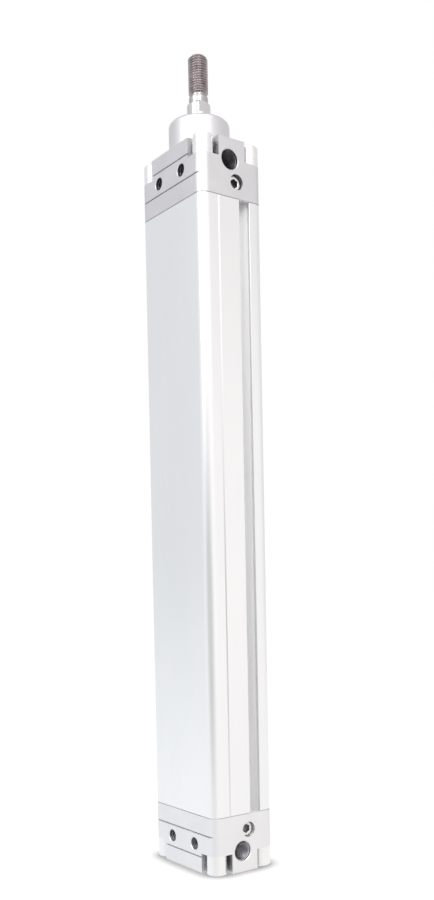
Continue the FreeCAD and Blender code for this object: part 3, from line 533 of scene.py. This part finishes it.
def make_thread_tree():
    tree = bpy.data.node_groups.new("tapped_threads", "GeometryNodeTree")
    keys = {}
    for label, kind in (
        ("Ends", "NodeSocketGeometry"), ("Radius", "NodeSocketFloat"), ("Pitch", "NodeSocketFloat"),
        ("Turns", "NodeSocketFloat"), ("Ridge", "NodeSocketFloat"), ("Axis turn", "NodeSocketVector"),
        ("Finish", "NodeSocketMaterial"),
    ):
        keys[label] = tree.interface.new_socket(label, in_out="INPUT", socket_type=kind).identifier
    tree.interface.new_socket("Threads", in_out="OUTPUT", socket_type="NodeSocketGeometry")
    given = tree.nodes.new("NodeGroupInput").outputs

    def multiply(first, second):
        return add_node(tree, "ShaderNodeMath", {0: first, 1: second}, operation="MULTIPLY").outputs[0]

    helix = add_node(tree, "GeometryNodeCurveSpiral", {
        "Resolution": points_per_turn, "Rotations": given["Turns"], "Start Radius": given["Radius"],
        "End Radius": given["Radius"], "Height": multiply(given["Pitch"], given["Turns"]),
    })
    upright = add_node(tree, "GeometryNodeSetCurveNormal", {"Curve": helix.outputs["Curve"]}, mode="Z_UP")
    flank = multiply(given["Pitch"], flank_share)
    section = add_node(tree, "GeometryNodeCurvePrimitiveQuadrilateral", {
        "Width": multiply(given["Ridge"], 2.0), "Bottom Height": flank, "Top Height": flank,
    }, mode="KITE")
    along = add_node(tree, "GeometryNodeSplineParameter").outputs["Factor"]
    back = add_node(tree, "ShaderNodeMath", {0: 1.0, 1: along}, operation="SUBTRACT").outputs[0]
    nearest = add_node(tree, "ShaderNodeMath", {0: along, 1: back}, operation="MINIMUM").outputs[0]
    run_out = multiply(multiply(nearest, given["Turns"]), fades_per_turn)
    fade = add_node(tree, "ShaderNodeMath", {0: run_out, 1: 1.0}, operation="MINIMUM").outputs[0]
    ridge = add_node(tree, "GeometryNodeCurveToMesh", {
        "Curve": upright.outputs["Curve"], "Profile Curve": section.outputs["Curve"], "Scale": fade,
        "Fill Caps": True,
    })
    spots = add_node(tree, "GeometryNodeMeshToPoints", {"Mesh": given["Ends"]})
    placed = add_node(tree, "GeometryNodeInstanceOnPoints", {
        "Points": spots.outputs["Points"], "Instance": ridge.outputs["Mesh"], "Rotation": given["Axis turn"],
    })
    real = add_node(tree, "GeometryNodeRealizeInstances", {"Geometry": placed.outputs["Instances"]})
    painted = add_node(tree, "GeometryNodeSetMaterial", {
        "Geometry": real.outputs["Geometry"], "Material": given["Finish"],
    })
    result = tree.nodes.new("NodeGroupOutput")
    tree.links.new(painted.outputs["Geometry"], result.inputs["Threads"])
    return tree, keys


thread_tree, thread_keys = make_thread_tree()


def tap(name, slot, finish, ends, axis_turn, radius, pitch, depth, ridge):
    """Threads of one size in holes that point the same way, each given by its inner end."""
    mesh = bpy.data.meshes.new(name + "_ends")
    mesh.from_pydata(ends, [], [])
    holder = bpy.data.objects.new(name + "_holder", mesh)
    bpy.context.scene.collection.objects.link(holder)
    modifier = holder.modifiers.new("threads", "NODES")
    modifier.node_group = thread_tree
    for label, value in (
        ("Radius", radius), ("Pitch", pitch), ("Turns", depth / pitch), ("Ridge", ridge),
        ("Axis turn", axis_turn), ("Finish", finish),
    ):
        modifier[thread_keys[label]] = value
    graph = bpy.context.evaluated_depsgraph_get()
    made = bpy.data.meshes.new_from_object(holder.evaluated_get(graph))
    bpy.data.objects.remove(holder)
    made.name = name
    new_piece(name, made, "housing", slot)


# The front cap's side threads are painted almost black, as painted shade inside the holes.
dark_thread_painted_shade = noisy_finish(
    "dark_thread_painted_shade", scale=900.0, roughness=(0.24, 0.36), relief=0.00001,
    colours=((0.09, 0.085, 0.095), (0.18, 0.175, 0.185)),
)
side_thread_finishes = {"front": dark_thread_painted_shade, "rear": pale_hole_painted_shade}
front_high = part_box("front_cap_screws")[1].z
port_pitch = 0.000907
port_ridge = 0.0005
head_inset = 0.0051
head_thread_depth = 0.0054
head_recess = 0.0002
m6_radius = 0.003
m6_pitch = 0.001
m6_ridge = 0.00045

for end, (joint, way) in joints.items():
    port_end = (side_wall - port_depth, port_side, joint + way * port_height)
    tap(f"{end}_port_thread", "cap_casting", port_finishes[end], [port_end], (0.0, math.pi / 2, 0.0),
        port_radius, port_pitch, port_depth - 2 * mouth_depth, port_ridge)
    for face, way_y in (("near", -1.0), ("far", 1.0)):
        side_ends = [
            (x, way_y * (wide_wall - side_hole_depth), joint + way * side_hole_height)
            for x in (-side_hole_spans[face], side_hole_spans[face])
        ]
        tap(f"{end}_{face}_side_threads", "cap_casting", side_thread_finishes[end], side_ends,
            (-way_y * math.pi / 2, 0.0, 0.0), m6_radius, m6_pitch, side_hole_depth - 2 * mouth_depth,
            m6_ridge)
for end, axis_turn, face_height, way in (
    ("front", (0.0, 0.0, 0.0), front_high, 1.0),
    ("rear", (math.pi, 0.0, 0.0), head_recess, -1.0),
):
    inner_end = face_height - way * (head_thread_depth + mouth_depth)
    head_ends = [
        (x * (side_wall - head_inset), y * (wide_wall - head_inset), inner_end)
        for x in (-1.0, 1.0) for y in (-1.0, 1.0)
    ]
    tap(f"{end}_head_threads", "plated_screws", zinc, head_ends, axis_turn,
        m6_radius, m6_pitch, head_thread_depth, m6_ridge)


# Studio: a white tent round a white floor that keeps the cylinder's shadow, with a painted contact shadow in
# its glow.
# The tent is brightest on the camera's side, dimmer behind, and has a darker opening beside the camera.
bright_side = (0.755, -0.656, 0.0)
warm_side = (0.812, 0.584, 0.0)
opening_place = (0.574, -0.819, -0.04)
opening_reach = (1.0, 1.0, 0.24)
tent_on_dull_surfaces = 0.6


def eased(tree, value, start, end, low, high):
    """A smooth change from low to high while the value goes from start to end."""
    return add_node(tree, "ShaderNodeMapRange", {
        "Value": value, "From Min": start, "From Max": end, "To Min": low, "To Max": high,
    }, interpolation_type="SMOOTHSTEP").outputs["Result"]


def mixed(tree, factor, first, second):
    """A number that is the first where the factor is 0, and the second where it is 1."""
    return add_node(tree, "ShaderNodeMix", {"Factor": factor, "A": first, "B": second}).outputs["Result"]


def tent_light(tree, direction):
    """Strength and colour of the tent in a direction, as metal shows them."""
    def combined(kind, first, second):
        return add_node(tree, "ShaderNodeMath", {0: first, 1: second}, operation=kind).outputs[0]

    def vector(kind, first, second):
        return add_node(tree, "ShaderNodeVectorMath", {0: first, 1: second}, operation=kind).outputs

    height = add_node(tree, "ShaderNodeSeparateXYZ", {0: direction}).outputs["Z"]
    toward = vector("DOT_PRODUCT", direction, bright_side)["Value"]
    warmth = vector("DOT_PRODUCT", direction, warm_side)["Value"]
    back_wall = eased(tree, toward, start=-0.3, end=0.3, low=0.86, high=0.97)
    before = eased(tree, toward, start=0.25, end=0.85, low=0.0, high=1.0)
    above = eased(tree, height, start=0.1, end=0.3, low=0.1, high=0.36)
    front_wall = combined("MULTIPLY", before, above)
    beside = eased(tree, warmth, start=0.5, end=0.95, low=0.0, high=1.0)
    below = eased(tree, height, start=0.12, end=0.34, low=0.14, high=0.0)
    right_wall = combined("MULTIPLY", beside, below)
    walls = combined("ADD", combined("ADD", back_wall, front_wall), right_wall)
    ground = eased(tree, height, start=-0.6, end=-0.3, low=0.88, high=1.08)
    underneath = eased(tree, height, start=-0.24, end=0.06, low=1.0, high=0.0)
    lit = mixed(tree, underneath, walls, ground)
    spread = vector("DIVIDE", vector("SUBTRACT", direction, opening_place)["Vector"], opening_reach)["Vector"]
    from_opening = add_node(tree, "ShaderNodeVectorMath", {0: spread}, operation="LENGTH").outputs["Value"]
    outside_opening = eased(tree, from_opening, start=0.1, end=1.0, low=0.47, high=1.0)
    strength = combined("MULTIPLY", lit, outside_opening)
    tint = add_node(tree, "ShaderNodeMapRange", {"Value": warmth, "From Min": -1.0, "From Max": 1.0})
    ramp = add_node(tree, "ShaderNodeValToRGB", {"Fac": tint.outputs["Result"]})
    ramp.color_ramp.elements[0].color = (0.97, 0.98, 1.0, 1.0)
    ramp.color_ramp.elements[1].color = (1.0, 0.97, 0.96, 1.0)
    return strength, ramp.outputs["Color"]


def white_floor():
    material, tree, shader, place = new_finish("white_floor")
    contact_reach = 0.010
    shader.inputs["Base Color"].default_value = (0.3, 0.3, 0.3, 1.0)
    shader.inputs["Roughness"].default_value = 0.9
    shader.inputs["Specular IOR Level"].default_value = 0.0
    seen = tree.nodes.new("ShaderNodeLightPath").outputs["Is Camera Ray"]
    # The floor's glow is dimmed close to the cylinder: a painted contact shadow.
    open_sky = add_node(tree, "ShaderNodeAmbientOcclusion", {"Distance": contact_reach}).outputs["AO"]
    shaded = add_node(tree, "ShaderNodeMapRange", {
        "Value": open_sky, "From Min": 0.56, "From Max": 0.97, "To Min": 0.22, "To Max": 0.85,
    }).outputs["Result"]
    shader.inputs["Emission Color"].default_value = (1.0, 1.0, 1.0, 1.0)
    tree.links.new(mixed(tree, seen, 0.0, shaded), shader.inputs["Emission Strength"])
    return material


# The floor is left out of reflections, where metal shows the lower half of the tent.
floor_reach = 6.0
floor_mesh = bpy.data.meshes.new("floor")
floor_corners = [(x * floor_reach, y * floor_reach, 0.0) for x, y in ((-1, -1), (1, -1), (1, 1), (-1, 1))]
floor_mesh.from_pydata(floor_corners, [], [(0, 1, 2, 3)])
floor_mesh.materials.append(white_floor())
floor = bpy.data.objects.new("floor", floor_mesh)
floor.visible_glossy = False
bpy.context.scene.collection.objects.link(floor)

world = bpy.data.worlds.new("white_tent")
bpy.context.scene.world = world
world.use_nodes = True
tent = world.node_tree
path = tent.nodes.new("ShaderNodeLightPath").outputs
strength, colour = tent_light(tent, tent.nodes.new("ShaderNodeTexCoord").outputs["Generated"])
shown = add_node(tent, "ShaderNodeMath", {
    0: path["Is Glossy Ray"], 1: path["Is Transmission Ray"],
}, operation="MAXIMUM").outputs[0]
strength = mixed(tent, path["Is Camera Ray"], mixed(tent, shown, tent_on_dull_surfaces, strength), 1.0)
white = add_node(tent, "ShaderNodeMix", {
    "Factor": path["Is Camera Ray"], 6: colour, 7: (1.0, 1.0, 1.0, 1.0),
}, data_type="RGBA").outputs[2]
tent.links.new(strength, tent.nodes["Background"].inputs["Strength"])
tent.links.new(white, tent.nodes["Background"].inputs["Color"])

middle = Vector((0.0, 0.0, (cad_box[0].z + cad_box[1].z) / 2))


def soft_lamp(name, place, size, watts):
    """A square lamp that points at the middle of the cylinder."""
    lamp = bpy.data.lights.new(name, "AREA")
    lamp.size = size
    lamp.energy = watts
    holder = bpy.data.objects.new(name, lamp)
    bpy.context.scene.collection.objects.link(holder)
    aim = (middle - Vector(place)).to_track_quat("-Z", "Y").to_matrix().to_4x4()
    holder.matrix_world = Matrix.Translation(place) @ aim


soft_lamp("key_lamp", (0.16, -0.89, 0.78), size=0.5, watts=3.0)
soft_lamp("top_lamp", (0.60, -0.25, 0.95), size=0.5, watts=3.0)


# Camera: it stands where the photograph was taken, level with the lower half of the barrel.
# Its lens is shifted, because the photograph's optical axis meets it below its middle.
camera_place = Vector((0.40731, -0.28748, 0.14617))
camera_yaw = math.radians(35.711)
camera_pitch = math.radians(1.807)
camera_roll = math.radians(1.128)
image_width, image_height = 434, 900
focal_pixels = 962.8
picture_centre = (217.0, 609.41)
sensor = 36.0

ahead = Vector((
    -math.cos(camera_yaw) * math.cos(camera_pitch),
    math.sin(camera_yaw) * math.cos(camera_pitch),
    -math.sin(camera_pitch),
))
level_right = Vector((math.sin(camera_yaw), math.cos(camera_yaw), 0.0))
level_down = ahead.cross(level_right)
right = math.cos(camera_roll) * level_right + math.sin(camera_roll) * level_down
down = math.cos(camera_roll) * level_down - math.sin(camera_roll) * level_right
lens = bpy.data.cameras.new("photo_camera")
lens.sensor_width = sensor
lens.lens = focal_pixels / image_height * sensor
lens.shift_x = (image_width / 2 - picture_centre[0]) / image_height
lens.shift_y = (picture_centre[1] - image_height / 2) / image_height
camera = bpy.data.objects.new("photo_camera", lens)
bpy.context.scene.collection.objects.link(camera)
turn = Matrix((right, -down, -ahead)).transposed().to_4x4()
camera.matrix_world = Matrix.Translation(camera_place) @ turn
bpy.context.scene.camera = camera
bpy.context.scene.view_settings.view_transform = "Standard"
